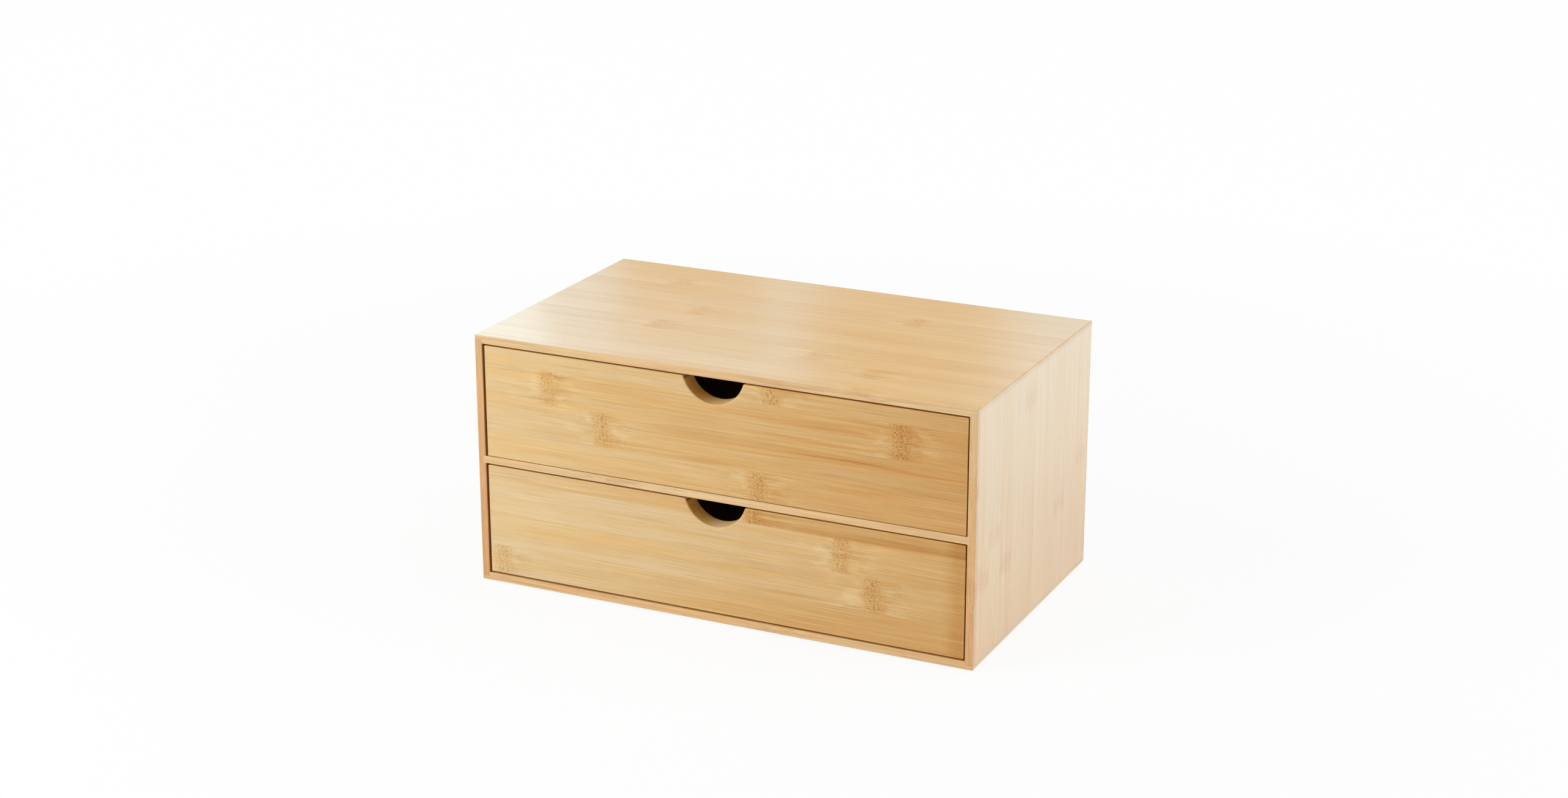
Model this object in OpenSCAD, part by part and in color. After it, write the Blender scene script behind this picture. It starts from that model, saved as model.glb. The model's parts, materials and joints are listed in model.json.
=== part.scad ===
// Desktop chest with two drawers, glued up from thin laminated bamboo boards.
// Millimetres. +X is to the right, +Y to the back, +Z up.
// The origin is on the surface that the chest stands on, under the middle of the case.

/* [Case] */
// Width of the case, over the side boards
case_w = 330; // [200:1:480]
// Depth of the case, from its front edges to its rear edges
case_d = 190; // [130:1:320]
// Height of the case, without the foot pads
case_h = 160; // [110:1:300]
// Thickness of the top, bottom and side boards
board_t = 5; // [4:0.5:9]
// Thickness of the lips of the top and bottom boards, which cover the ends of the side boards
lip_t = 2.5; // [1.5:0.25:3.5]
// Thickness of the shelf between the drawers
shelf_t = 4.5; // [3:0.5:9]
// Depth of the housings in the side boards that hold the ends of the shelf
shelf_housing = 1.8; // [1:0.2:3]
// Radius of the sanded outer edges of the case
case_edge_r = 0.6; // [0.3:0.1:1.4]
// Chamfer around the front of the two openings
mouth_chamfer = 0.2; // [0.1:0.1:1]

/* [Back panel] */
// Thickness of the back panel
back_t = 3; // [2:0.5:6]
// Distance from the rear edges of the case to the back panel
back_inset = 4; // [2:0.5:10]
// Depth of the grooves that hold the back panel
back_groove = 2; // [1:0.25:3]

/* [Drawer front] */
// Thickness of the drawer front
front_t = 12; // [10:0.5:18]
// Distance of the drawer front behind the front edges of the case
front_recess = 1; // [0:0.1:5]
// Gap on each side of the drawer
gap_side = 1.1; // [0.3:0.1:2.5]
// Gap above the drawer
gap_top = 1.3; // [0.5:0.1:4]
// Gap under the front of the upper drawer, whose side boards carry it
upper_front_lift = 0.2; // [0:0.1:1.5]
// Gap under the front of the lower drawer, whose side boards carry it
lower_front_lift = 0.8; // [0:0.1:1.5]
// Radius of the corners of the drawer front, as seen from the front
front_corner_r = 0.8; // [0.5:0.1:5]
// Radius of the sanded edges of the drawer front
front_edge_r = 0.3; // [0.2:0.1:0.9]

/* [Finger notch] */
// Radius of the finger notch
notch_r = 20.4; // [18:0.1:26]
// Depth of the finger notch below the top edge of the drawer front
notch_depth = 15.3; // [8:0.1:17]
// Sideways place of the upper drawer's notch, from the middle of the drawer
upper_notch_shift = -2.8; // [-20:0.1:20]
// Sideways place of the lower drawer's notch, from the middle of the drawer
lower_notch_shift = -2.1; // [-20:0.1:20]
// Radius of the rounding around the front rim of the notch
notch_rim_r = 1; // [0.5:0.1:1.5]
// Radius of the two shoulders where the notch meets the top edge
shoulder_r = 1.6; // [1.5:0.1:3]

/* [Drawer box] */
// Thickness of the drawer's side boards
side_t = 5; // [4:0.5:9]
// Length of the side boards' front ends that is let into the drawer front
side_seat = 8; // [4:0.5:9]
// Thickness of the drawer's back board
rear_t = 5; // [4:0.5:9]
// Distance from the rear ends of the side boards to the back board
rear_inset = 6; // [3:0.5:20]
// Depth of the housings in the side boards that hold the back board
rear_housing = 2; // [1:0.25:3]
// Thickness of the drawer's bottom panel
bottom_t = 3; // [2:0.5:5]
// Height of the bottom panel above the lower edges of the drawer
bottom_lift = 4; // [2.5:0.5:12]
// Depth of the grooves that hold the bottom panel
bottom_groove = 2.5; // [1:0.25:3]
// Radius of the sanded top edges of the side and back boards
box_edge_r = 1; // [0.4:0.1:1.8]

/* [Foot pads] */
// Diameter of the foot pads
pad_d = 12; // [6:0.5:24]
// Thickness of the foot pads
pad_t = 1.5; // [1:0.25:5]
// Distance from the outer faces of the case to a foot pad
pad_inset = 8; // [3:0.5:30]
// Radius of the lower edge of the foot pads
pad_edge_r = 0.5; // [0.2:0.1:0.8]

/* [Hidden] */
$fn = 64;

// Length by which a cutter runs past the face that it cuts
past = 1;

bamboo_case = [0.87, 0.71, 0.48];
bamboo_front = [0.85, 0.67, 0.42];
bamboo_box = [0.90, 0.77, 0.56];
pad_grey = [0.25, 0.25, 0.25];

// Levels, from the surface that the chest stands on
case_z = pad_t;
case_top = case_z + case_h;
floor_z = case_z + board_t;
ceiling_z = case_top - board_t;
opening_h = (ceiling_z - floor_z - shelf_t) / 2;
shelf_z = floor_z + opening_h;
upper_z = shelf_z + shelf_t;

// Places across the width and along the depth
inner_w = case_w - 2 * board_t;
case_front = -case_d / 2;
front_y = case_front + front_recess;
back_y = -case_front - back_inset - back_t;

// Sizes of a drawer, whose own origin is under the middle of its front face
drawer_w = inner_w - 2 * gap_side;
drawer_l = back_y - front_y;
drawer_h = opening_h - gap_top;
box_w = drawer_w - 2 * side_t;
rear_y = drawer_l - rear_inset - rear_t;
bottom_top = bottom_lift + bottom_t;
notch_rise = notch_r - notch_depth;

// ---- Shapes that several pieces share ----

// What a rounding of radius r takes off a corner at the origin, whose sides run along +X and +Y
module corner_waste(r) {
    difference() {
        translate([-past, -past]) square(r + past);
        translate([r, r]) circle(r);
    }
}

// A rectangle from the origin to size. Its two low corners are rounded by low_r and its two
// high corners by high_r, and 0 leaves them square.
module soft_rect(size, low_r, high_r) {
    difference() {
        square(size);
        for (x = [0, 1]) {
            if (low_r > 0)
                translate([x * size[0], 0]) mirror([x, 0]) corner_waste(low_r);
            if (high_r > 0)
                translate([x * size[0], size[1]]) mirror([x, 0]) mirror([0, 1])
                    corner_waste(high_r);
        }
    }
}

// A block from the origin to size with all its edges rounded by r, or by corner_r as seen
// from the front
module soft_block(size, r, corner_r) {
    intersection() {
        linear_extrude(size[2]) soft_rect([size[0], size[1]], r, r);
        translate([0, size[1], 0]) rotate([90, 0, 0])
            linear_extrude(size[1]) soft_rect([size[0], size[2]], corner_r, corner_r);
        rotate([90, 0, 90]) linear_extrude(size[0]) soft_rect([size[1], size[2]], r, r);
    }
}

// ---- Case ----

// The outside of the glued-up case, which is sanded as one block
module case_block() {
    translate([-case_w / 2, case_front, case_z])
        soft_block([case_w, case_d, case_h], case_edge_r, case_edge_r);
}

// What the chamfer takes off the edges of the opening that starts at height z
module mouth_waste(z) {
    x = inner_w / 2;
    reach = mouth_chamfer + past;
    intersection() {
        translate([0, 0, z - reach]) linear_extrude(opening_h + 2 * reach)
            polygon([
                [-x - reach, case_front - past], [x + reach, case_front - past],
                [x, case_front + mouth_chamfer], [-x, case_front + mouth_chamfer],
            ]);
        translate([-x - reach, 0, 0]) rotate([90, 0, 90]) linear_extrude(2 * (x + reach))
            polygon([
                [case_front - past, z - reach], [case_front + mouth_chamfer, z],
                [case_front + mouth_chamfer, z + opening_h],
                [case_front - past, z + opening_h + reach],
            ]);
    }
}

module both_mouths_waste() {
    mouth_waste(floor_z);
    mouth_waste(upper_z);
}

// The back panel and, where over is more than 0, a cutter that runs on up and down by over
module back_blank(over = 0) {
    translate([-inner_w / 2 - back_groove, back_y, floor_z - back_groove - over])
        cube([
            inner_w + 2 * back_groove, back_t,
            ceiling_z - floor_z + 2 * (back_groove + over),
        ]);
}

// The shelf with its two ends that sit in the side boards
module shelf_blank() {
    translate([-inner_w / 2 - shelf_housing, case_front, shelf_z])
        cube([inner_w + 2 * shelf_housing, back_y - case_front, shelf_t]);
}

// A top or bottom board: the full thickness lies between the side boards from height z up,
// and the lips that cover the side boards' ends start at height lip_z
module lipped_board(z, lip_z) {
    color(bamboo_case) difference() {
        intersection() {
            union() {
                translate([-inner_w / 2, case_front, z]) cube([inner_w, case_d, board_t]);
                translate([-case_w / 2, case_front, lip_z]) cube([case_w, case_d, lip_t]);
            }
            case_block();
        }
        back_blank();
        both_mouths_waste();
    }
}

// A side board, whose inner face is at the distance inner_w / 2 on the left (-1) or right (1)
module side_board(hand) {
    color(bamboo_case) difference() {
        intersection() {
            translate([hand * (inner_w + board_t) / 2 - board_t / 2, case_front, case_z + lip_t])
                cube([board_t, case_d, case_h - 2 * lip_t]);
            case_block();
        }
        shelf_blank();
        back_blank(over = board_t);
        both_mouths_waste();
    }
}

module shelf() {
    color(bamboo_case) difference() {
        shelf_blank();
        both_mouths_waste();
    }
}

module back_panel() {
    color(bamboo_box) back_blank();
}

// A self-adhesive pad under the corner on the left (-1) or right (1), at the front (-1) or rear (1)
module foot_pad(hand, end) {
    reach = pad_inset + pad_d / 2;
    color(pad_grey) translate([hand * (case_w / 2 - reach), end * (case_d / 2 - reach), 0])
        rotate_extrude() difference() {
            square([pad_d / 2, pad_t]);
            translate([pad_d / 2, 0]) mirror([1, 0]) corner_waste(pad_edge_r);
        }
}

// ---- Drawers ----

// Puts a drawer's piece, which is drawn in the drawer's own frame, into the opening at height z
module in_opening(z) {
    translate([0, front_y, z]) children();
}

// A section through the drawer front from the origin to x = length, whose end at x = 0 is
// rounded over: towards the front (y = 0) like the notch's rim, and at the rear like other edges
module rim_section(length) {
    difference() {
        square([length, front_t]);
        corner_waste(notch_rim_r);
        translate([0, front_t]) mirror([0, 1]) corner_waste(front_edge_r);
    }
}

// The round part of the finger notch, around its axis
module notch_waste() {
    rotate([-90, 0, 0]) rotate_extrude() difference() {
        translate([0, -past]) square([notch_r + notch_rim_r, front_t + 2 * past]);
        translate([notch_r, 0]) rim_section(notch_rim_r + past);
    }
}

// What rounds the right shoulder of the notch, seen from the front, with the origin at the
// centre of the notch
module shoulder_waste() {
    x = sqrt(pow(notch_r + shoulder_r, 2) - pow(notch_rise + shoulder_r, 2));
    z = -notch_rise - shoulder_r;
    touch = notch_r / (notch_r + shoulder_r);
    difference() {
        polygon([[0, z * touch], [x * touch, z * touch], [x, z], [x, past], [0, past]]);
        translate([x, z]) circle(shoulder_r);
    }
}

module notch_and_shoulders_waste(shift) {
    translate([shift, 0, drawer_h + notch_rise]) {
        notch_waste();
        for (m = [0, 1])
            translate([0, front_t + past, 0]) mirror([m, 0, 0]) rotate([90, 0, 0])
                linear_extrude(front_t + 2 * past) shoulder_waste();
    }
}

// The bottom panel and, where over is more than 0, a cutter that runs on to the rear by over
module bottom_blank(over = 0) {
    x = box_w / 2 + bottom_groove;
    y = front_t - bottom_groove;
    translate([-x, y, bottom_lift]) cube([2 * x, rear_y + rear_t + over - y, bottom_t]);
}

// The rebate in the drawer front for the end of the side board on the left (-1) or right (1)
module side_rebate(hand) {
    translate([hand * (box_w + side_t + past) / 2 - (side_t + past) / 2, front_t - side_seat, -past])
        cube([side_t + past, side_seat + past, drawer_h + 2 * past]);
}

// The drawer front, whose lower edge is at the height lift and whose notch is off the middle by
// shift
module drawer_front(lift, shift) {
    color(bamboo_front) difference() {
        translate([-drawer_w / 2, 0, lift])
            soft_block([drawer_w, front_t, drawer_h - lift], front_edge_r, front_corner_r);
        notch_and_shoulders_waste(shift);
        side_rebate(-1);
        side_rebate(1);
        bottom_blank();
    }
}

// The side board on the left (-1) or right (1), housed for the back board and grooved right
// through to the rear, so that the bottom panel slides in
module drawer_side(hand) {
    color(bamboo_box) difference() {
        translate([hand * (box_w + side_t) / 2 - side_t / 2, drawer_l, 0]) rotate([90, 0, 0])
            linear_extrude(drawer_l - front_t + side_seat)
                soft_rect([side_t, drawer_h], 0, box_edge_r);
        rear_blank(over = past);
        bottom_blank(over = rear_inset + past);
    }
}

// The back board as a plain board, taller by over
module rear_blank(over = 0) {
    x = box_w / 2 + rear_housing;
    translate([-x, rear_y, bottom_top]) cube([2 * x, rear_t, drawer_h - bottom_top + over]);
}

// The back board, which stands on the bottom panel
module drawer_back() {
    color(bamboo_box) intersection() {
        rear_blank();
        translate([-drawer_w / 2, rear_y, 0]) rotate([90, 0, 90])
            linear_extrude(drawer_w) soft_rect([rear_t, drawer_h], 0, box_edge_r);
    }
}

module drawer_bottom() {
    color(bamboo_box) bottom_blank();
}

// ---- The model ----

lipped_board(ceiling_z, case_top - lip_t);  // top_board
lipped_board(case_z, case_z);  // bottom_board
side_board(-1);  // left_side_board
side_board(1);  // right_side_board
shelf();
back_panel();
foot_pad(-1, -1);  // foot_pad_front_left
foot_pad(1, -1);  // foot_pad_front_right
foot_pad(-1, 1);  // foot_pad_rear_left
foot_pad(1, 1);  // foot_pad_rear_right

in_opening(upper_z) drawer_front(upper_front_lift, upper_notch_shift);  // upper_drawer_front
in_opening(upper_z) drawer_side(-1);  // upper_drawer_left_side
in_opening(upper_z) drawer_side(1);  // upper_drawer_right_side
in_opening(upper_z) drawer_back();  // upper_drawer_back
in_opening(upper_z) drawer_bottom();  // upper_drawer_bottom

in_opening(floor_z) drawer_front(lower_front_lift, lower_notch_shift);  // lower_drawer_front
in_opening(floor_z) drawer_side(-1);  // lower_drawer_left_side
in_opening(floor_z) drawer_side(1);  // lower_drawer_right_side
in_opening(floor_z) drawer_back();  // lower_drawer_back
in_opening(floor_z) drawer_bottom();  // lower_drawer_bottom
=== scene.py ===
"""Looks of the desktop chest: laminated bamboo under lacquer, rubber pads, studio and camera.

Metres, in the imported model's frame. The materials work in millimetres inside.
"""

import json
import math
import random

import bpy
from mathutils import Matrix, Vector


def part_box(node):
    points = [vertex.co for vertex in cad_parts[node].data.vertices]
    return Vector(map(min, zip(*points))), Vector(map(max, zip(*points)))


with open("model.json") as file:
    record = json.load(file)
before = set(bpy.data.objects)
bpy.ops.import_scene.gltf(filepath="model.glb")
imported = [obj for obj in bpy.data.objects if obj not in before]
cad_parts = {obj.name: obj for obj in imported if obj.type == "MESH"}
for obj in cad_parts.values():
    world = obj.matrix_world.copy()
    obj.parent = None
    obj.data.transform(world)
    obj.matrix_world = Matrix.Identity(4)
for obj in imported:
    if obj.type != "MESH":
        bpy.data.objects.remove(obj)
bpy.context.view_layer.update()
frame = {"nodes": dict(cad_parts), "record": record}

MM = 0.001
AXES = "XYZ"


def node_size(name):
    """The size of a CAD node, in mm."""
    low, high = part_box(name)
    return [(high[axis] - low[axis]) / MM for axis in range(3)]


# ---- Node trees ----


class Tree:
    """Builds a node tree call by call. A value may be a socket, a number or a tuple."""

    def __init__(self, tree):
        self.tree = tree
        self.tree.nodes.clear()

    def add(self, kind, values=(), **settings):
        """A new node with its settings, and its inputs set or linked by name or number."""
        node = self.tree.nodes.new(kind)
        for name, setting in settings.items():
            setattr(node, name, setting)
        for key, value in dict(values).items():
            if isinstance(value, bpy.types.NodeSocket):
                self.tree.links.new(value, node.inputs[key])
            else:
                node.inputs[key].default_value = value
        return node

    def math(self, operation, *values):
        return self.add("ShaderNodeMath", enumerate(values), operation=operation).outputs[0]

    def total(self, *values):
        result = values[0]
        for value in values[1:]:
            result = self.math("ADD", result, value)
        return result

    def times(self, *values):
        result = values[0]
        for value in values[1:]:
            result = self.math("MULTIPLY", result, value)
        return result

    def less(self, value, amount):
        return self.math("SUBTRACT", value, amount)

    def invert(self, value):
        """1 where the value is 0, and 0 where it is 1."""
        return self.less(1.0, value)

    def swing(self, value, amount):
        """Turns a noise value around 0.5 into a swing around 0 of that amount."""
        return self.times(self.less(value, 0.5), amount)

    def step(self, value, start, end):
        """Runs smoothly from 0 at start to 1 at end. start may be above end."""
        low, high, first, last = (start, end, 0.0, 1.0) if start < end else (end, start, 1.0, 0.0)
        node = self.add(
            "ShaderNodeMapRange",
            {"Value": value, "From Min": low, "From Max": high, "To Min": first, "To Max": last},
            interpolation_type="SMOOTHSTEP",
        )
        return node.outputs["Result"]

    def vector(self, x, y, z):
        return self.add("ShaderNodeCombineXYZ", enumerate((x, y, z))).outputs[0]

    def parts(self, vector):
        return self.add("ShaderNodeSeparateXYZ", {0: vector}).outputs

    def noise(self, vector, detail=2.0, roughness=0.5):
        values = {"Vector": vector, "Scale": 1.0, "Detail": detail, "Roughness": roughness}
        return self.add("ShaderNodeTexNoise", values).outputs["Fac"]

    def mix(self, factor, first, second, blend="MIX"):
        """Two colours mixed, or blended in another way."""
        # Of the Mix node's sockets, inputs 6 and 7 and output 2 are the ones for colours
        node = self.add(
            "ShaderNodeMix", {0: factor, 6: first, 7: second}, data_type="RGBA", blend_type=blend)
        return node.outputs[2]

    def multiply(self, first, second, factor=1.0):
        return self.mix(factor, first, second, "MULTIPLY")

    def ramp(self, value, stops, interpolation="LINEAR"):
        """A colour ramp with stops [(position, colour), ...]."""
        node = self.add("ShaderNodeValToRGB", {"Fac": value})
        node.color_ramp.interpolation = interpolation
        elements = node.color_ramp.elements
        while len(elements) < len(stops):
            elements.new(1.0)
        # All places first and then the colours, in case an element changes places with another
        for element, (position, _) in zip(elements, stops):
            element.position = position
        for element, (_, color) in zip(elements, stops):
            element.color = color
        return node.outputs["Color"]


def new_material(name):
    """A new material and its tree, still empty."""
    material = bpy.data.materials.new(name)
    material.use_nodes = True
    return material, Tree(material.node_tree)


def srgb(red, green, blue):
    """A linear colour with alpha from the 8-bit values that a colour picker shows."""
    def linear(value):
        value /= 255
        return value / 12.92 if value <= 0.04045 else ((value + 0.055) / 1.055) ** 2.4
    return (linear(red), linear(green), linear(blue), 1.0)


# ---- Bamboo: the wood ----

# Shades of bamboo from the palest fibre (0) to the darkest (1)
PALE = srgb(237, 207, 150)
SHADES = [
    (0.0, PALE), (0.30, srgb(230, 193, 130)), (0.55, srgb(217, 168, 96)),
    (0.78, srgb(200, 140, 55)), (1.0, srgb(166, 100, 28)),
]
# What those shades are multiplied by for their tint: the palest stem, a plain one and the
# ruddiest one, at a tint of -TINT_REACH, 0 and TINT_REACH
TINTS = [(0.0, (1.0, 1.117, 1.53, 1.0)), (0.5, (1.0, 1.0, 1.0, 1.0)), (1.0, (1.0, 0.815, 0.56, 1.0))]
TINT_REACH = 2.6
# What they are multiplied by: painted shade inside the case near its mouths; a glue line; the
# ends of a board where lacquer has soaked into its edges; a front's sawn ends, darker end grain
# that is partly painted shade for the gaps beside the fronts; and its other cut faces, bare wood
# that is partly painted shade, the more so in the finger notch
IN_SHADE = (1.0, 0.80, 0.55, 1.0)
GLUE = (0.55, 0.36, 0.18, 1.0)
SOAKED = (0.93, 0.88, 0.82, 1.0)
# A front's sawn ends: darker end grain, and partly painted shade for the gaps beside the fronts
SAWN_END_AND_SHADE = (0.45, 0.33, 0.24, 1.0)
# Bare cut faces, partly painted shade, the more so in the notch
CUT_AND_SHADE = (0.95, 0.85, 0.52, 1.0)

# The noise in the wood: how long its marks are along the grain and how wide across it in mm,
# its detail and roughness, and where in the noise they start. BENDS bend the fibres, and MARKS
# lie along them.
BENDS = {
    "bend": (70.0, 16.0, 1.0, 0.5, 0.0),
    "swirl": (5.0, 2.4, 2.0, 0.5, 0.0),
}
MARKS = {
    "hair": (26.0, 0.15, 1.0, 0.5, 0.0),
    "fine": (40.0, 0.30, 2.0, 0.6, 3.0),
    "medium": (100.0, 1.1, 2.0, 0.5, 7.0),
    "broad": (110.0, 4.0, 1.0, 0.5, 11.0),
    "figure": (13.0, 1.5, 2.0, 0.5, 13.0),
    "cloud": (8.0, 3.5, 3.0, 0.6, 17.0),
    "light_line": (50.0, 0.45, 1.0, 0.5, 23.0),
    "dark_line": (24.0, 0.28, 1.0, 0.5, 29.0),
    "amber_band": (60.0, 1.6, 2.0, 0.5, 31.0),
    "ragged_end": (3.0, 0.7, 2.0, 0.7, 37.0),
    "flame": (16.0, 1.0, 2.0, 0.6, 41.0),
    "wrinkle": (1.0, 0.5, 1.0, 0.5, 43.0),
    "dash": (1.5, 0.22, 2.0, 0.6, 47.0),
    "warm_streak": (70.0, 1.3, 2.0, 0.5, 61.0),
    "warm_area": (90.0, 5.0, 2.0, 0.5, 67.0),
}
# A mark is about half a cell of the noise
CELL = 0.5
# How far apart in the noise the strips' stems lie
STEM_SPREAD = 370.0
# How far the fibres bend and swirl, in mm
BEND, SWIRL = 3.6, 3.0

# How much each noise darkens the wood, up and down, in shades
STREAKS = {"hair": 0.74, "fine": 0.46, "medium": 0.18, "broad": 0.12, "figure": 0.14, "cloud": 0.10}
FIGURE_AROUND_KNUCKLE = 0.55
# Single lines: between which noise values they come in, and how much they darken the wood
LINES = {
    "light_line": (0.58, 0.70, -0.09),
    "dark_line": (0.60, 0.74, 0.08),
    "amber_band": (0.55, 0.75, 0.12),
}
# How much each noise swings the tint
WARMTH = {"warm_streak": 4.4, "warm_area": 5.6}
# A streak is this much of another shade, and this much just darker
STREAK_SHADE, STREAK_DARKNESS = 0.42, 0.42
# Long edges, which show the layers: how much bolder their streaks are and weaker their knuckles,
# and how much paler and ruddier they are
LAYERS_STREAKS, LAYERS_KNUCKLE, LAYERS_SHADE, LAYERS_TINT = 0.6, 0.7, -0.08, 1.3

# A knuckle, in mm past its middle: between which places its band comes in and goes out, and its
# flames, how far both are ragged, and how much of the flames the band hides. Around it, between
# which distances the fibres start to swirl and to show their figure.
BAND_IN, BAND_OUT, BAND_RAGGED = (-9.0, -1.5), (10.0, 2.0), 7.0
FLAMES_IN, FLAMES_OUT, FLAMES_RAGGED = (-5.0, 3.0), (26.0, -2.0), 60.0
FLAMES_HIDDEN = 0.5
SWIRL_IN, AROUND_IN = (34.0, 6.0), (36.0, 7.0)
# Its wrinkles, which zigzag across the strip: how many there are to a mm, how far they swing in
# mm, how fine their zigzag is along and across the grain, how wide they are as a share of their
# distance, and between which noise values they break off
WRINKLES_PER_MM, ZIGZAG = 0.36, 7.0
ZIGZAG_ALONG, ZIGZAG_ACROSS = 0.12, 0.55
WRINKLE_WIDTH, WRINKLES_IN = (0.26, 0.06), (0.40, 0.60)
# Its dashes, and the pale clouds around it: between which noise values they come in
DASHES_IN, CLOUDS_IN = (0.50, 0.68), (0.46, 0.62)
# How much each part of it darkens the wood, in shades
KNUCKLE = {"band": 0.11, "wrinkles": 0.30, "dashes": -0.35, "flames": 0.15, "clouds": -0.18}
# How much ruddier amber bands and flames are
AMBER_TINT, FLAMES_TINT = 0.3, 0.15

# A glue line's half width in mm and how much it shows, and how much handled edges and the light
# painted on a front's notch turn pale
GLUE_WIDTH, GLUE_SHARE = (0.30, 0.06), 0.22
RUBBED_AND_LIT_SHARE = 0.5
# How both come and go along the grain: how often to a mm, where in the noise they start, and
# between which noise values they come in
GLUE_PLACES = (0.02, 5.0, (0.40, 0.62))
RUBBED_AND_LIT_PLACES = (0.08, 0.0, (0.25, 0.60))

# Roughness and coat of the lacquered wood, and what they gain and lose where it is bare. Long
# edges are partly bare.
ROUGHNESS, BARE_ROUGHNESS = 0.38, 0.24
FINE_ROUGHNESS, CLOUD_ROUGHNESS, BAND_ROUGHNESS = 0.14, 0.06, 0.08
COAT, BARE_COAT_LOSS = 0.9, 0.8
BARE_LAYERS = 0.6
# How far the marks stand proud, in mm
RELIEF = {"fine": 0.022, "medium": 0.02, "wrinkles": -0.02, "dark_line": -0.012, "glue": -0.02}


def wood_noise(t, table, along, across, depth, stem):
    """The noise of BENDS or MARKS, by name."""
    noise = {}
    for name, (length, width, detail, roughness, start) in table.items():
        place = t.vector(
            t.total(t.times(along, CELL / length), stem, start),
            t.times(across, CELL / width),
            t.times(depth, CELL / width),
        )
        noise[name] = t.noise(place, detail, roughness)
    return noise


def knuckle_parts(t, noise, past, across, stem):
    """The parts of a knuckle, each 1 where it is, and a mask of what lies around it. A golden
    band crosses the strip, ragged at both ends. In it are broken wrinkles and short pale dashes.
    It runs out in flames on its far side, and pale clouds lie around it."""
    in_band = t.total(past, t.swing(noise["ragged_end"], BAND_RAGGED))
    band = t.times(t.step(in_band, *BAND_IN), t.step(in_band, *BAND_OUT))
    in_flames = t.total(past, t.swing(noise["flame"], FLAMES_RAGGED))
    flames = t.times(
        t.step(in_flames, *FLAMES_OUT), t.step(past, *FLAMES_IN),
        t.invert(t.times(band, FLAMES_HIDDEN)),
    )
    zigzag_place = t.vector(t.times(past, ZIGZAG_ALONG), t.times(across, ZIGZAG_ACROSS), stem)
    zigzag = t.swing(t.noise(zigzag_place), ZIGZAG)
    phase = t.math("FRACT", t.times(t.total(past, zigzag), WRINKLES_PER_MM))
    off_line = t.math("ABSOLUTE", t.less(phase, 0.5))
    wrinkles = t.times(t.step(off_line, *WRINKLE_WIDTH), t.step(noise["wrinkle"], *WRINKLES_IN))
    around = t.times(t.step(t.math("ABSOLUTE", past), *AROUND_IN), t.invert(band))
    return {
        "band": band,
        "wrinkles": t.times(band, wrinkles),
        "dashes": t.times(band, t.step(noise["dash"], *DASHES_IN)),
        "flames": flames,
        "clouds": t.times(around, t.step(noise["cloud"], *CLOUDS_IN)),
    }, around


def some_places(t, along, stem, per_mm, start, places_in):
    """1 in some places along the grain, and 0 in others."""
    place = t.vector(t.times(along, per_mm), stem, start)
    return t.step(t.noise(place), *places_in)


def plain_color(t, given, noise, lines, parts, around):
    """The wood's colour from its shade and tint, which its marks and its knuckle change."""
    layers, bold = given["Layers"], given["Bold"]
    streaks = t.total(
        *[t.swing(noise[name], amount) for name, amount in STREAKS.items()],
        t.times(around, t.swing(noise["figure"], FIGURE_AROUND_KNUCKLE)),
        *[t.times(lines[name], amount) for name, (_, _, amount) in LINES.items()],
    )
    streaks = t.times(streaks, t.total(1.0, t.times(layers, LAYERS_STREAKS)), bold)
    knuckle = t.total(*[t.times(parts[name], amount) for name, amount in KNUCKLE.items()])
    knuckle = t.times(knuckle, t.invert(t.times(layers, LAYERS_KNUCKLE)), bold)
    shade = t.total(
        given["Shade"], t.times(streaks, STREAK_SHADE), knuckle, t.times(layers, LAYERS_SHADE))
    warmth = t.total(*[t.swing(noise[name], amount) for name, amount in WARMTH.items()])
    tint = t.total(
        given["Tint"], t.times(warmth, bold), t.times(lines["amber_band"], AMBER_TINT),
        t.times(parts["flames"], FLAMES_TINT), t.times(layers, LAYERS_TINT),
    )
    color = t.ramp(shade, SHADES)
    color = t.multiply(color, t.ramp(t.total(t.times(tint, 0.5 / TINT_REACH), 0.5), TINTS))
    return t.multiply(color, t.invert(t.times(streaks, STREAK_DARKNESS)))


def finished_color(t, given, color, glue, rubbed_and_lit):
    """The plain colour with its glue lines, its handled and soaked edges and the light painted on a
    front's notch, the shade painted inside the case, and its sawn and cut faces, which are partly
    painted shade."""
    color = t.multiply(color, GLUE, t.times(glue, GLUE_SHARE))
    color = t.mix(t.times(rubbed_and_lit, RUBBED_AND_LIT_SHARE), color, PALE)
    color = t.multiply(color, SOAKED, t.math("MAXIMUM", t.times(given["Edge"], -1.0), 0.0))
    for name, tone in (("Hidden", IN_SHADE), ("End", SAWN_END_AND_SHADE), ("Cut", CUT_AND_SHADE)):
        color = t.multiply(color, tone, given[name])
    return color


def lacquer(t, given, noise, band):
    """The roughness and the weight of the coat, which is thin where the wood is bare."""
    bare = t.math("ABSOLUTE", given["Edge"])
    for value in (t.times(given["Layers"], BARE_LAYERS), given["End"], given["Cut"]):
        bare = t.math("MAXIMUM", bare, value)
    roughness = t.total(
        ROUGHNESS, t.swing(noise["fine"], FINE_ROUGHNESS), t.swing(noise["cloud"], CLOUD_ROUGHNESS),
        t.times(band, BAND_ROUGHNESS), t.times(bare, BARE_ROUGHNESS),
    )
    return roughness, t.less(COAT, t.times(bare, BARE_COAT_LOSS))


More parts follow.
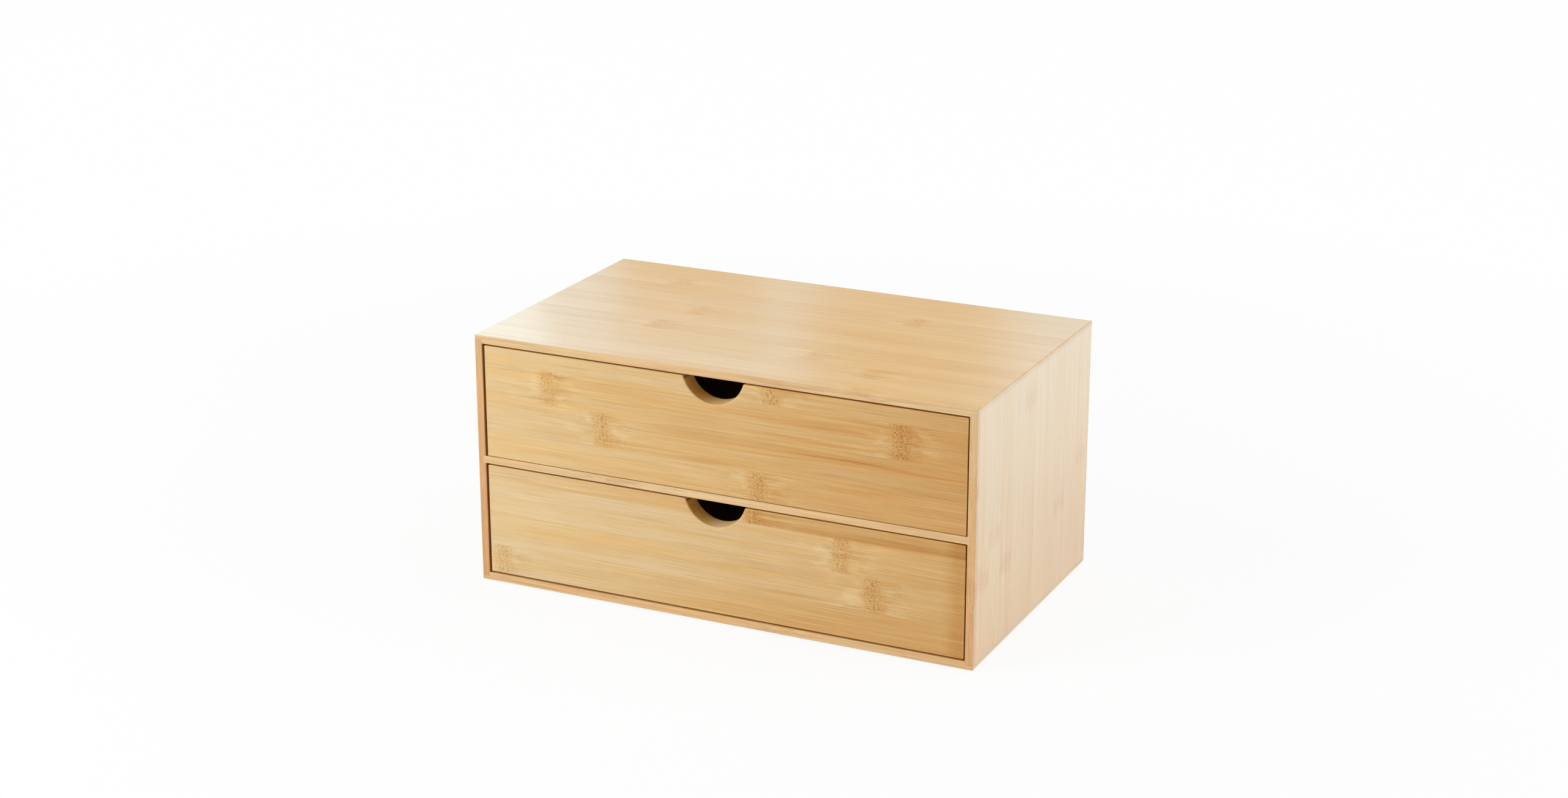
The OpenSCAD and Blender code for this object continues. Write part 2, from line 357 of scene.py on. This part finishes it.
def make_bamboo_group():
    """The wood itself. Grain is a place in mm: along the fibres, across the strips and in depth.
    Strip is the strip's own random number, Shade its tone, Tint its hue, from wan to ruddy, and
    Bold how strong its marks are. Layers is 1 on a board's long edges, which show its layers.
    Knuckle is the distance past its nearest knuckle in mm, and Joint the distance to its glue
    line in mm. Edge is above 0 on sanded edges that handling has made pale, and on a front also
    on the part of its notch's wall that looks up, where light is painted as a paler tone; it is
    below 0 where lacquer has soaked in. Hidden is 1 where shade is painted on the case's inner
    faces near its mouths, End on a front's sawn ends, and Cut up to 1 on its other cut faces,
    which are partly bare wood and partly painted shade."""
    group = bpy.data.node_groups.new("bamboo", "ShaderNodeTree")
    group.interface.new_socket("Grain", in_out="INPUT", socket_type="NodeSocketVector")
    for name in ("Strip", "Shade", "Tint", "Bold", "Layers", "Knuckle", "Joint", "Edge", "Hidden",
                 "End", "Cut"):
        group.interface.new_socket(name, in_out="INPUT", socket_type="NodeSocketFloat")
    group.interface.new_socket("Color", in_out="OUTPUT", socket_type="NodeSocketColor")
    for name in ("Roughness", "Height", "Coat"):
        group.interface.new_socket(name, in_out="OUTPUT", socket_type="NodeSocketFloat")

    t = Tree(group)
    given = t.add("NodeGroupInput").outputs
    along, across, depth = t.parts(given["Grain"])
    # Each strip comes from another stem, so its fibres start somewhere else in the noise
    stem = t.times(given["Strip"], STEM_SPREAD)

    # The fibres bend a little, and they swirl around a knuckle
    bends = wood_noise(t, BENDS, along, across, depth, stem)
    near_knuckle = t.step(t.math("ABSOLUTE", given["Knuckle"]), *SWIRL_IN)
    swirl = t.times(t.swing(bends["swirl"], SWIRL), near_knuckle)
    bent = t.total(across, t.swing(bends["bend"], BEND), swirl)
    noise = wood_noise(t, MARKS, along, bent, depth, stem)
    lines = {name: t.step(noise[name], start, end) for name, (start, end, _) in LINES.items()}
    parts, around = knuckle_parts(t, noise, given["Knuckle"], across, stem)

    # Glue lines show only here and there, and handled edges, with the light painted on a front's
    # notch, turn pale in places
    glue = t.times(t.step(given["Joint"], *GLUE_WIDTH), some_places(t, along, stem, *GLUE_PLACES))
    rubbed_and_lit = t.times(
        t.math("MAXIMUM", given["Edge"], 0.0), some_places(t, along, stem, *RUBBED_AND_LIT_PLACES))

    color = plain_color(t, given, noise, lines, parts, around)
    color = finished_color(t, given, color, glue, rubbed_and_lit)
    roughness, coat = lacquer(t, given, noise, parts["band"])
    marks = {**noise, **lines, **parts, "glue": glue}
    height = t.total(*[t.times(marks[name], amount) for name, amount in RELIEF.items()])
    t.add("NodeGroupOutput", {"Color": color, "Roughness": roughness, "Height": height, "Coat": coat})
    return group


# ---- Bamboo: the boards ----


class Board:
    """How one board is laid up and finished. Lengths are in mm, from the board's low corner.

    grain, across: the axis along its fibres, and the one across its strips
    strip, first: how wide its strips are, and how wide the one at its low edge is
    shades: a tone for each strip, from 0, pale, to 1, brown
    knuckles: for a strip, by its number, where along it its knuckles are, two at most
    drift, warming: how much darker its high end is than its low one, and how much ruddier
    tint, tints: its hue, from wan to ruddy, and for a strip, by its number, a hue of its own
    bold: how strong its marks are
    edge: sanded edges, made pale by handling (to 1), or soaked with lacquer at its ends (to -1);
    on a front it also scales the light painted on its notch
    bands: single amber bands: the middle across the board, half the width, the start and end
        along it, and the strength
    finish: its kind of lacquer, one of FINISHES
    """

    def __init__(self, grain, across, strip, first, shades, knuckles=None, drift=0.0, warming=0.0,
                 tint=0.0, tints=None, bold=1.0, edge=-1.0, bands=(), finish="lacquer"):
        self.grain = AXES.index(grain)
        self.across = AXES.index(across)
        self.depth = 3 - self.grain - self.across
        self.strip = strip
        self.first = first
        self.shades = shades
        self.knuckles = knuckles or {}
        self.drift = drift
        self.warming = warming
        self.tints = [(tints or {}).get(number, tint) for number in range(len(shades))]
        self.bold = bold
        self.edge = edge
        self.bands = bands
        self.finish = finish


# Boards drawn at random: how wide their strips are in mm, what share of that the first may have,
# how far their shades, drift and tint swing, how likely a strip has a knuckle, and where in mm
ANY_STRIP, ANY_FIRST = 20.0, (0.3, 1.0)
ANY_SHADE, ANY_DRIFT, ANY_TINT = 0.10, 0.05, 0.3
KNUCKLE_CHANCE, KNUCKLE_PLACES = 0.6, (15, 300)


def any_board(name, seed, grain, across, base, finish, knuckles=None):
    """A board whose strips are drawn at random around the shade base, for places where no strip
    stands out."""
    rng = random.Random(seed)
    width = node_size(name)[AXES.index(across)]
    first = rng.uniform(*ANY_FIRST) * ANY_STRIP
    count = 1 + math.ceil((width - first) / ANY_STRIP)
    shades = [base + rng.uniform(-ANY_SHADE, ANY_SHADE) for _ in range(count)]
    drawn = {}
    for number in range(count):
        if rng.random() < KNUCKLE_CHANCE:
            drawn[number] = [rng.uniform(*KNUCKLE_PLACES)]
    drift = rng.uniform(-ANY_DRIFT, ANY_DRIFT)
    tint = rng.uniform(-ANY_TINT, ANY_TINT)
    return Board(
        grain, across, ANY_STRIP, first, shades, knuckles or drawn,
        drift=drift, tint=tint, finish=finish)


BOARDS = {
    # Its wan tints are partly painted sheen, for the whitish sheen of the lacquer on the top
    "top_board": Board(
        "X", "Y", 17.5, 7.25,
        [0.44, 0.35, 0.43, 0.37, 0.46, 0.36, 0.43, 0.38, 0.45, 0.36, 0.42, 0.39],
        {0: [256], 2: [249], 3: [204], 4: [89], 6: [99], 8: [232], 9: [61]},
        tint=-0.8, tints={0: -0.6, 3: -0.5}, bold=0.8, edge=-0.7, finish="thick"),
    "bottom_board": any_board(
        "bottom_board", 3, "X", "Y", 0.36, "thick", {0: [206], 3: [80], 5: [260], 7: [150]}),
    # Painted reflection: warming and drift make the top end paler and wanner and the bottom end
    # ruddier, standing in for the lacquer's whitish sheen that fades towards the bottom
    "right_side_board": Board(
        "Z", "Y", 18.1, 3.9,
        [0.50, 0.24, 0.25, 0.27, 0.22, 0.28, 0.20, 0.22, 0.24, 0.22, 0.19, 0.24],
        {0: [106.5, 46], 1: [48.5], 2: [70.4], 3: [45.4], 5: [137], 8: [52], 10: [73], 11: [8]},
        drift=-0.12, warming=-3.7, tint=0.35, tints={0: 1.0}, bold=0.7, edge=-0.4, finish="thick"),
    # Painted reflection: warming makes the top end wanner and the bottom end ruddier, as on the right
    # side, for the lacquer's sheen
    "left_side_board": Board(
        "Z", "Y", 18.1, 5.5,
        [0.63, 0.27, 0.24, 0.30, 0.22, 0.28, 0.25, 0.21, 0.30, 0.24, 0.28, 0.3],
        {0: [51], 2: [118], 4: [33], 7: [92], 9: [140]},
        warming=-3.7, tint=0.35, tints={0: 1.0}, bold=0.7, edge=-0.4, finish="thick"),
    "shelf": any_board("shelf", 5, "X", "Y", 0.30, "thick", {0: [91], 2: [250], 5: [140]}),
    "back_panel": any_board("back_panel", 6, "X", "Z", 0.40, "thin"),
    "upper_drawer_front": Board(
        "X", "Z", 21.5, 18.0, [0.42, 0.46, 0.44, 0.40],
        {0: [184], 1: [80], 2: [43, 275.6], 3: [192.6]},
        drift=0.34, warming=0.5, edge=1.0, bands=[(35.0, 3.0, 95.0, 300.0, 0.11)]),
    "lower_drawer_front": Board(
        "X", "Z", 21.5, 18.65, [0.40, 0.36, 0.34, 0.48],
        {0: [7], 1: [258.5], 2: [239], 3: [181]},
        drift=0.28, warming=0.7, tint=-0.5, edge=1.0,
        # Its second band darkens the whole height of the front towards its right end
        bands=[(64.0, 4.0, 150.0, 330.0, 0.14), (35.0, 200.0, 302.0, 352.0, 0.18)]),
}
# The boards of a drawer behind its front: name, grain and across; and their shade
DRAWER_BOARDS = [
    ("left_side", "Y", "Z"), ("right_side", "Y", "Z"), ("back", "X", "Z"), ("bottom", "X", "Y"),
]
DRAWER_SHADE = 0.34
for drawer, first_seed in (("upper_drawer", 20), ("lower_drawer", 30)):
    for seed, (piece, grain, across) in enumerate(DRAWER_BOARDS, first_seed):
        name = f"{drawer}_{piece}"
        BOARDS[name] = any_board(name, seed, grain, across, DRAWER_SHADE, "thin")


# ---- Bamboo: one board's material ----

FINISHES = {
    "lacquer": {"Coat Roughness": 0.18, "Coat IOR": 1.42, "Specular IOR Level": 0.3},
    "thick": {"Coat Roughness": 0.12, "Coat IOR": 2.3, "IOR": 1.9, "Specular IOR Level": 0.5},
    "thin": {"Coat Roughness": 0.34, "Coat IOR": 1.4, "Specular IOR Level": 0.3},
}
THIN_COAT = 0.25
# How strongly the relief shows in the wood and in the lacquer over it
WOOD_BUMP, COAT_BUMP = 0.5, 0.25

# How far before the board a knuckle lies that isn't there, in mm
NO_KNUCKLE = 100.0
# How far apart in the noise the boards lie, along the grain in mm and in the strips' seeds
BOARD_SPREAD, SEED_SPREAD = 400.0, 17.0
# How far a knuckle swings as it crosses its strip, in mm, and how slowly
SLANT, SLANT_PLACES = 6.0, 0.10

# How near two of a board's faces are where its edge begins and where it is full, in mm
ON_EDGE = (0.9, 0.2)
# Painted shade on the case's inner faces: how far inside the case it begins, how far behind its
# front edges it begins on those that look up, and how far behind they are light again, in mm
DARK, DARK_UP, LIGHT_AGAIN = (0.1, 0.6), (1.6, 2.4), 30.0
# The upward part of a normal that looks up, and of one that no longer does
NOT_UP = (0.8, 0.2)

# A front's finger notch: how far inside the front's outline it begins, in mm, and the part of the
# normal, seen from the front, where its rounded rim begins and ends
INSIDE_OUTLINE = (1.5, 3.0)
RIM_FROM, RIM_TO = (0.15, 0.4), (0.98, 0.85)
# The part of the notch's wall where light is painted as a paler tone, the part that looks up
# and to the left towards the key lamp: which way it looks, along and across the grain, how
# squarely, and how much its shade and tint differ
LIT_FACING_ALONG, LIT_FACING_ACROSS, LIT_FACING = -0.5, 0.87, (0.5, 0.95)
PAINTED_LIGHT_SHADE, PAINTED_LIGHT_TINT = -0.20, 0.3
# A front's sawn ends and its other cut faces, by their normals, and how much of the cut colour
# the outer ones have, and how much more the notch. The cut colour is partly painted shade, most
# of all in the notch.
SAWN, NOT_FACE = (0.7, 0.95), (0.8, 0.3)
CUT_AND_SHADE_OUTSIDE, CUT_AND_SHADE_IN_NOTCH = 0.45, 0.55


def to_nearer_end(t, place, length):
    return t.math("MINIMUM", place, t.less(length, place))


def strip_values(t, board, number, length):
    """A strip's own values, from its number: shade, tint, and the places of two knuckles in mm.
    They come from a colour ramp, which holds them as colours from 0 to 1."""
    span = length + 2 * NO_KNUCKLE
    stops = []
    for i, shade in enumerate(board.shades):
        places = (board.knuckles.get(i, []) + [-NO_KNUCKLE] * 2)[:2]
        first, second = [(place + NO_KNUCKLE) / span for place in places]
        stops.append((i / len(board.shades), (shade, first, second, (board.tints[i] + 1) / 2)))
    place = t.math("DIVIDE", t.total(number, 0.5), float(len(board.shades)))
    ramp = t.ramp(place, stops, "CONSTANT").node.outputs
    shade, first, second = t.parts(ramp["Color"])
    places = [t.less(t.times(value, span), NO_KNUCKLE) for value in (first, second)]
    return shade, t.less(t.times(ramp["Alpha"], 2.0), 1.0), places


def nearest_knuckle(t, places, along, across, depth, strip):
    """The distance past the nearer of a strip's two knuckles, which cross it a little slanted."""
    slant_place = t.vector(t.times(across, SLANT_PLACES), strip, t.times(depth, SLANT_PLACES))
    slant = t.swing(t.noise(slant_place), SLANT)
    first, second = [t.total(along, slant, t.times(place, -1.0)) for place in places]
    closer = t.math("LESS_THAN", t.math("ABSOLUTE", first), t.math("ABSOLUTE", second))
    return t.total(second, t.times(closer, t.less(first, second)))


def edge_mask(t, board, place, size):
    """1 on the board's edges, where two of its faces are both near: on those at its ends, and
    also on the long ones if handling makes them pale."""
    near = [t.step(to_nearer_end(t, place[axis], size[axis]), *ON_EDGE) for axis in range(3)]
    near_end = near.pop(board.grain)
    at_end = t.times(near_end, t.math("MAXIMUM", *near))
    return t.math("MAXIMUM", at_end, t.times(*near, max(board.edge, 0.0)))


def painted_shade_mask(t, spot, normal):
    """1 where shade is painted: on the faces inside the case, from just behind its front edges
    to LIGHT_AGAIN.
    """
    low, high = CASE_BOX
    inside = 1.0
    for axis in range(3):
        from_low, to_high = t.less(spot[axis], low[axis] / MM), t.less(high[axis] / MM, spot[axis])
        inward = t.math("MINIMUM", from_low, to_high)
        inside = t.times(inside, t.step(inward, *DARK))
    behind = t.less(spot[1], low[1] / MM)
    covered = t.math("MAXIMUM", t.step(normal[2], *NOT_UP), t.step(behind, *DARK_UP))
    return t.times(inside, covered, t.step(behind, LIGHT_AGAIN, LIGHT_AGAIN / 2))


def band_shade(t, board, along, across):
    """What the board's own amber bands add to its shade. A band fades over a quarter of its
    length at either end."""
    result = 0.0
    for middle, half_width, start, end, strength in board.bands:
        fade = (end - start) / 4
        off_middle = t.math("ABSOLUTE", t.less(across, middle))
        band = t.times(
            t.step(off_middle, half_width, half_width / 4), strength,
            t.step(along, start, start + fade), t.step(along, end, end - fade),
        )
        result = t.total(result, band)
    return result


def notch_masks(t, board, place, size, normal, on_face):
    """1 well inside a front's outline, where all that isn't its face is the notch; 1 on the
    notch's rounded rim; and 1 on the part of its wall that looks up, where light is painted."""
    in_outline = t.math(
        "MINIMUM", *[to_nearer_end(t, place[axis], size[axis]) for axis in (board.grain, board.across)])
    inside = t.step(in_outline, *INSIDE_OUTLINE)
    rim = t.times(t.step(on_face, *RIM_FROM), t.step(on_face, *RIM_TO), inside)
    facing = t.total(
        t.times(normal[board.across], LIT_FACING_ACROSS), t.times(normal[board.grain], LIT_FACING_ALONG))
    painted_light = t.times(t.step(facing, *LIT_FACING), t.step(on_face, *NOT_FACE), inside)
    return inside, rim, painted_light


def front_values(t, values, inside, painted_light, on_edge, on_end, on_face):
    """The values that the notch and the sawn and cut faces of a front change: the light painted on
    the notch's upward wall, and the sawn and cut faces' colours, which are partly painted shade.
    """
    end = t.times(t.step(on_end, *SAWN), t.invert(inside))
    cut_and_shade_share = t.total(CUT_AND_SHADE_OUTSIDE, t.times(inside, CUT_AND_SHADE_IN_NOTCH))
    return {
        "Shade": t.total(values["Shade"], t.times(painted_light, PAINTED_LIGHT_SHADE)),
        "Tint": t.total(values["Tint"], t.times(painted_light, PAINTED_LIGHT_TINT)),
        "Layers": t.times(on_edge, t.invert(inside)),
        "End": end,
        "Cut": t.times(t.step(on_face, *NOT_FACE), t.invert(end), t.invert(painted_light), cut_and_shade_share),
    }


def add_lacquered_surface(t, board, wood):
    """The board's surface: the wood, with its relief, under the board's kind of lacquer."""
    bump, coat_bump = [
        t.add("ShaderNodeBump", {"Height": wood["Height"], "Strength": strength, "Distance": MM})
        for strength in (WOOD_BUMP, COAT_BUMP)
    ]
    surface = t.add("ShaderNodeBsdfPrincipled", {
        "Base Color": wood["Color"], "Roughness": wood["Roughness"],
        "Coat Weight": THIN_COAT if board.finish == "thin" else wood["Coat"],
        "Normal": bump.outputs[0], "Coat Normal": coat_bump.outputs[0], **FINISHES[board.finish],
    })
    t.add("ShaderNodeOutputMaterial", {"Surface": surface.outputs[0]})


def bamboo_material(name, board, seed):
    """The material of one board, laid out from the board's own low corner."""
    material, t = new_material("bamboo_" + name)
    low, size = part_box(name)[0], node_size(name)
    coords = t.parts(t.add("ShaderNodeTexCoord").outputs["Object"])
    spot = [t.math("DIVIDE", coords[axis], MM) for axis in range(3)]
    place = [t.less(spot[axis], low[axis] / MM) for axis in range(3)]
    along, across, depth = place[board.grain], place[board.across], place[board.depth]

    strips_in = t.total(t.math("DIVIDE", t.less(across, board.first), board.strip), 1.0)
    number = t.math("FLOOR", strips_in)
    within = t.times(t.math("FRACT", strips_in), board.strip)
    strip = t.add(
        "ShaderNodeTexWhiteNoise", {"W": t.total(number, SEED_SPREAD * seed)}, noise_dimensions="1D",
    ).outputs["Value"]
    shade, tint, knuckles = strip_values(t, board, number, size[board.grain])
    off_middle = t.less(t.math("DIVIDE", along, size[board.grain]), 0.5)

    normal = t.parts(t.add("ShaderNodeNewGeometry").outputs["Normal"])
    on_edge, on_end, on_face = [
        t.math("ABSOLUTE", normal[axis]) for axis in (board.across, board.grain, board.depth)]
    values = {
        "Grain": t.vector(t.total(along, BOARD_SPREAD * seed), across, depth),
        "Strip": strip,
        "Shade": t.total(shade, t.times(off_middle, board.drift), band_shade(t, board, along, across)),
        "Tint": t.total(tint, t.times(off_middle, board.warming)),
        "Layers": on_edge,
        "Knuckle": nearest_knuckle(t, knuckles, along, across, depth, strip),
        "Joint": to_nearer_end(t, within, board.strip),
    }
    edges = edge_mask(t, board, place, size)
    if name.endswith("_front"):
        inside, rim, painted_light = notch_masks(t, board, place, size, normal, on_face)
        # The light painted on the notch's upward wall joins the handled edges and the rim
        edges = t.math("MAXIMUM", t.math("MAXIMUM", edges, rim), painted_light)
        values.update(front_values(t, values, inside, painted_light, on_edge, on_end, on_face))
    # Shade is painted on the case's inner faces near its mouths
    if name in frame["record"]["behaviour"]["bodies"]["case"]:
        values["Hidden"] = painted_shade_mask(t, spot, normal)
    values["Edge"] = t.times(edges, board.edge)
    values["Bold"] = board.bold
    add_lacquered_surface(t, board, t.add("ShaderNodeGroup", values, node_tree=BAMBOO).outputs)
    return material


def dress(name, material):
    """Gives a CAD node its material."""
    node = frame["nodes"][name]
    node.data.materials.clear()
    node.data.materials.append(material)


BAMBOO = make_bamboo_group()
CASE_BOX = (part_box("bottom_board")[0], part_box("top_board")[1])

for seed, (name, board) in enumerate(BOARDS.items(), 1):
    dress(name, bamboo_material(name, board, seed))


# ---- Rubber pads ----

RUBBER_DARK = srgb(46, 45, 44)
RUBBER_DUSTY = srgb(92, 88, 82)
# The speckle's noise, by detail and roughness, and how strongly and how far in mm it stands proud
SPECKLE_NOISE, SPECKLE_BUMP, SPECKLE_HEIGHT = (3.0, 0.6), 0.5, 0.05
# The detail of the dust's noise, between which of its values dust lies, and how much it shows
DUST_DETAIL, DUST_IN, DUST_SHARE = 1.0, (0.45, 0.75), 0.3
RUBBER_ROUGHNESS, SPECKLE_ROUGHNESS = 0.72, 0.3


def rubber_material():
    """Dark rubber with a fine speckle and a little dust."""
    material, t = new_material("pad_rubber")
    coords = t.add("ShaderNodeTexCoord").outputs["Object"]
    place = t.add(
        "ShaderNodeVectorMath", {0: coords, 1: (1 / MM,) * 3}, operation="MULTIPLY").outputs[0]
    speckle = t.noise(place, *SPECKLE_NOISE)
    dust = t.step(t.noise(place, DUST_DETAIL), *DUST_IN)
    color = t.mix(t.times(dust, DUST_SHARE), RUBBER_DARK, RUBBER_DUSTY)
    roughness = t.total(RUBBER_ROUGHNESS, t.swing(speckle, SPECKLE_ROUGHNESS))
    bump = t.add("ShaderNodeBump", {
        "Height": speckle, "Strength": SPECKLE_BUMP, "Distance": SPECKLE_HEIGHT * MM,
    })
    surface = t.add("ShaderNodeBsdfPrincipled", {
        "Base Color": color, "Roughness": roughness, "Normal": bump.outputs[0],
    })
    t.add("ShaderNodeOutputMaterial", {"Surface": surface.outputs[0]})
    return material


RUBBER = rubber_material()
for name in frame["nodes"]:
    if name.startswith("foot_pad"):
        dress(name, RUBBER)


# ---- Studio ----

WHITE = (1.0, 1.0, 1.0)
# The middle of the chest, which the lamps point at
MIDDLE = (0.0, 0.0, 0.08)

# Half the floor's width, and its colour under the lamps
FLOOR_HALF = 12.0
FLOOR_COLOR = (0.90, 0.90, 0.90, 1.0)
# How much of the floor's look is its own light: near the chest, where its shadow falls, there
# also in reflections, and far from it. Near and far run into each other between these distances.
SELF_LIT_NEAR, MIRRORED_NEAR, SELF_LIT_FAR = 0.90, 0.70, 0.99
FLOOR_NEAR, FLOOR_MIRRORED_NEAR = (1.0, 0.3), (0.5, 0.2)

# The world's strength as a light and as it is seen, and its colours in reflections: a cool white
# sky, and a warm brown in two parts of the studio behind the chest
WORLD_LIGHT, WORLD_SEEN = 0.35, 1.0
WORLD_COOL = (0.93, 0.99, 1.0, 1.0)
WORLD_DIM = (0.74, 0.38, 0.08, 1.0)
# The two parts: azimuth of the middle, half width, softness of the sides, and between which
# elevations it comes in, in degrees
DIM_PARTS = [(22.9, 1.3, 1.7, 10.0, 18.0), (27.4, 1.2, 0.8, 18.0, 16.6)]

# The lamps: place, size, power, colour, and whether they show up in the lacquer
LAMPS = {
    "key": ((-0.95, -0.95, 0.95), (0.9, 0.9), 15.0, WHITE, False),
    "right_fill": ((1.5, 0.5, 0.8), (0.9, 0.9), 8.8, WHITE, False),
    "overhead": ((0.4, 0.1, 1.1), (0.8, 0.8), 2.6, WHITE, False),
    "sheen": ((-1.5, 1.15, 0.75), (1.2, 1.0), 2.4, (0.6, 0.9, 1.0), True),
}

# The camera: sensor and lens in mm, its direction in degrees, and its place above the case's
# underside
SENSOR, LENS = 36.0, 64.33
CAMERA_AZIMUTH, CAMERA_ELEVATION = 25.47, 18.60
CAMERA_PLACE = (0.7066, -1.4859, 0.6674)


def make_floor():
    """A plain white floor. For the camera and in reflections it is mostly self-lit, so that it
    joins the white background and still holds the chest's shadow."""
    corners = [(x * FLOOR_HALF, y * FLOOR_HALF, 0) for x, y in ((-1, -1), (1, -1), (1, 1), (-1, 1))]
    mesh = bpy.data.meshes.new("floor")
    mesh.from_pydata(corners, [], [(0, 1, 2, 3)])
    floor = bpy.data.objects.new("floor", mesh)
    bpy.context.scene.collection.objects.link(floor)
    material, t = new_material("floor_white")
    matt = t.add("ShaderNodeBsdfDiffuse", {"Color": FLOOR_COLOR})
    white = t.add("ShaderNodeEmission", {"Color": (*WHITE, 1.0), "Strength": 1.0})
    place = t.add("ShaderNodeTexCoord").outputs["Object"]
    distance = t.add("ShaderNodeVectorMath", {0: place}, operation="LENGTH").outputs["Value"]
    seen, mirrored = [
        t.less(SELF_LIT_FAR, t.times(t.step(distance, *near), SELF_LIT_FAR - share))
        for near, share in ((FLOOR_NEAR, SELF_LIT_NEAR), (FLOOR_MIRRORED_NEAR, MIRRORED_NEAR))
    ]
    path = t.add("ShaderNodeLightPath").outputs
    white_share = t.math(
        "MAXIMUM", t.times(path["Is Camera Ray"], seen), t.times(path["Is Glossy Ray"], mirrored))
    mixed = t.add("ShaderNodeMixShader", {0: white_share, 1: matt.outputs[0], 2: white.outputs[0]})
    t.add("ShaderNodeOutputMaterial", {"Surface": mixed.outputs[0]})
    mesh.materials.append(material)


def make_world():
    """An even light. The camera sees it white, and reflections see the sky and its dim parts."""
    world = bpy.data.worlds.new("studio")
    bpy.context.scene.world = world
    world.use_nodes = True
    t = Tree(world.node_tree)
    x, y, z = t.parts(t.add("ShaderNodeTexCoord").outputs["Generated"])
    azimuth = t.math("ARCTAN2", t.times(x, -1.0), y)
    dim = 0.0
    for part in DIM_PARTS:
        centre, half_width, soft, absent, full = [math.radians(angle) for angle in part]
        off_centre = t.math("ABSOLUTE", t.less(azimuth, centre))
        dim = t.math("MAXIMUM", dim, t.times(
            t.step(off_centre, half_width + soft, half_width),
            t.step(z, math.sin(absent), math.sin(full)),
        ))
    path = t.add("ShaderNodeLightPath").outputs
    in_mirror = t.math("MAXIMUM", path["Is Glossy Ray"], path["Is Transmission Ray"])
    seen = t.math("MAXIMUM", path["Is Camera Ray"], in_mirror)
    mirrored = t.times(seen, t.invert(path["Is Camera Ray"]))
    color = t.mix(mirrored, (*WHITE, 1.0), t.mix(dim, WORLD_COOL, WORLD_DIM))
    strength = t.total(WORLD_LIGHT, t.times(seen, WORLD_SEEN - WORLD_LIGHT))
    light = t.add("ShaderNodeBackground", {"Color": color, "Strength": strength})
    t.add("ShaderNodeOutputWorld", {"Surface": light.outputs[0]})


def make_lamp(name, place, size, power, color, mirrored):
    """A soft lamp that points at the chest."""
    data = bpy.data.lights.new(name, "AREA")
    data.shape = "RECTANGLE"
    data.size, data.size_y = size
    data.energy = power
    data.color = color
    lamp = bpy.data.objects.new(name, data)
    lamp.location = place
    lamp.rotation_euler = (Vector(MIDDLE) - Vector(place)).to_track_quat("-Z", "Y").to_euler()
    lamp.visible_glossy = mirrored
    bpy.context.scene.collection.objects.link(lamp)


def make_camera():
    data = bpy.data.cameras.new("camera")
    data.sensor_width = SENSOR
    data.lens = LENS
    camera = bpy.data.objects.new("camera", data)
    x, y, above = CAMERA_PLACE
    camera.location = (x, y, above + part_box("bottom_board")[0].z)
    camera.rotation_euler = (
        math.pi / 2 - math.radians(CAMERA_ELEVATION), 0.0, math.radians(CAMERA_AZIMUTH))
    bpy.context.scene.collection.objects.link(camera)
    bpy.context.scene.camera = camera


make_floor()
make_world()
for name, values in LAMPS.items():
    make_lamp(name, *values)
make_camera()
bpy.context.scene.view_settings.view_transform = "Standard"
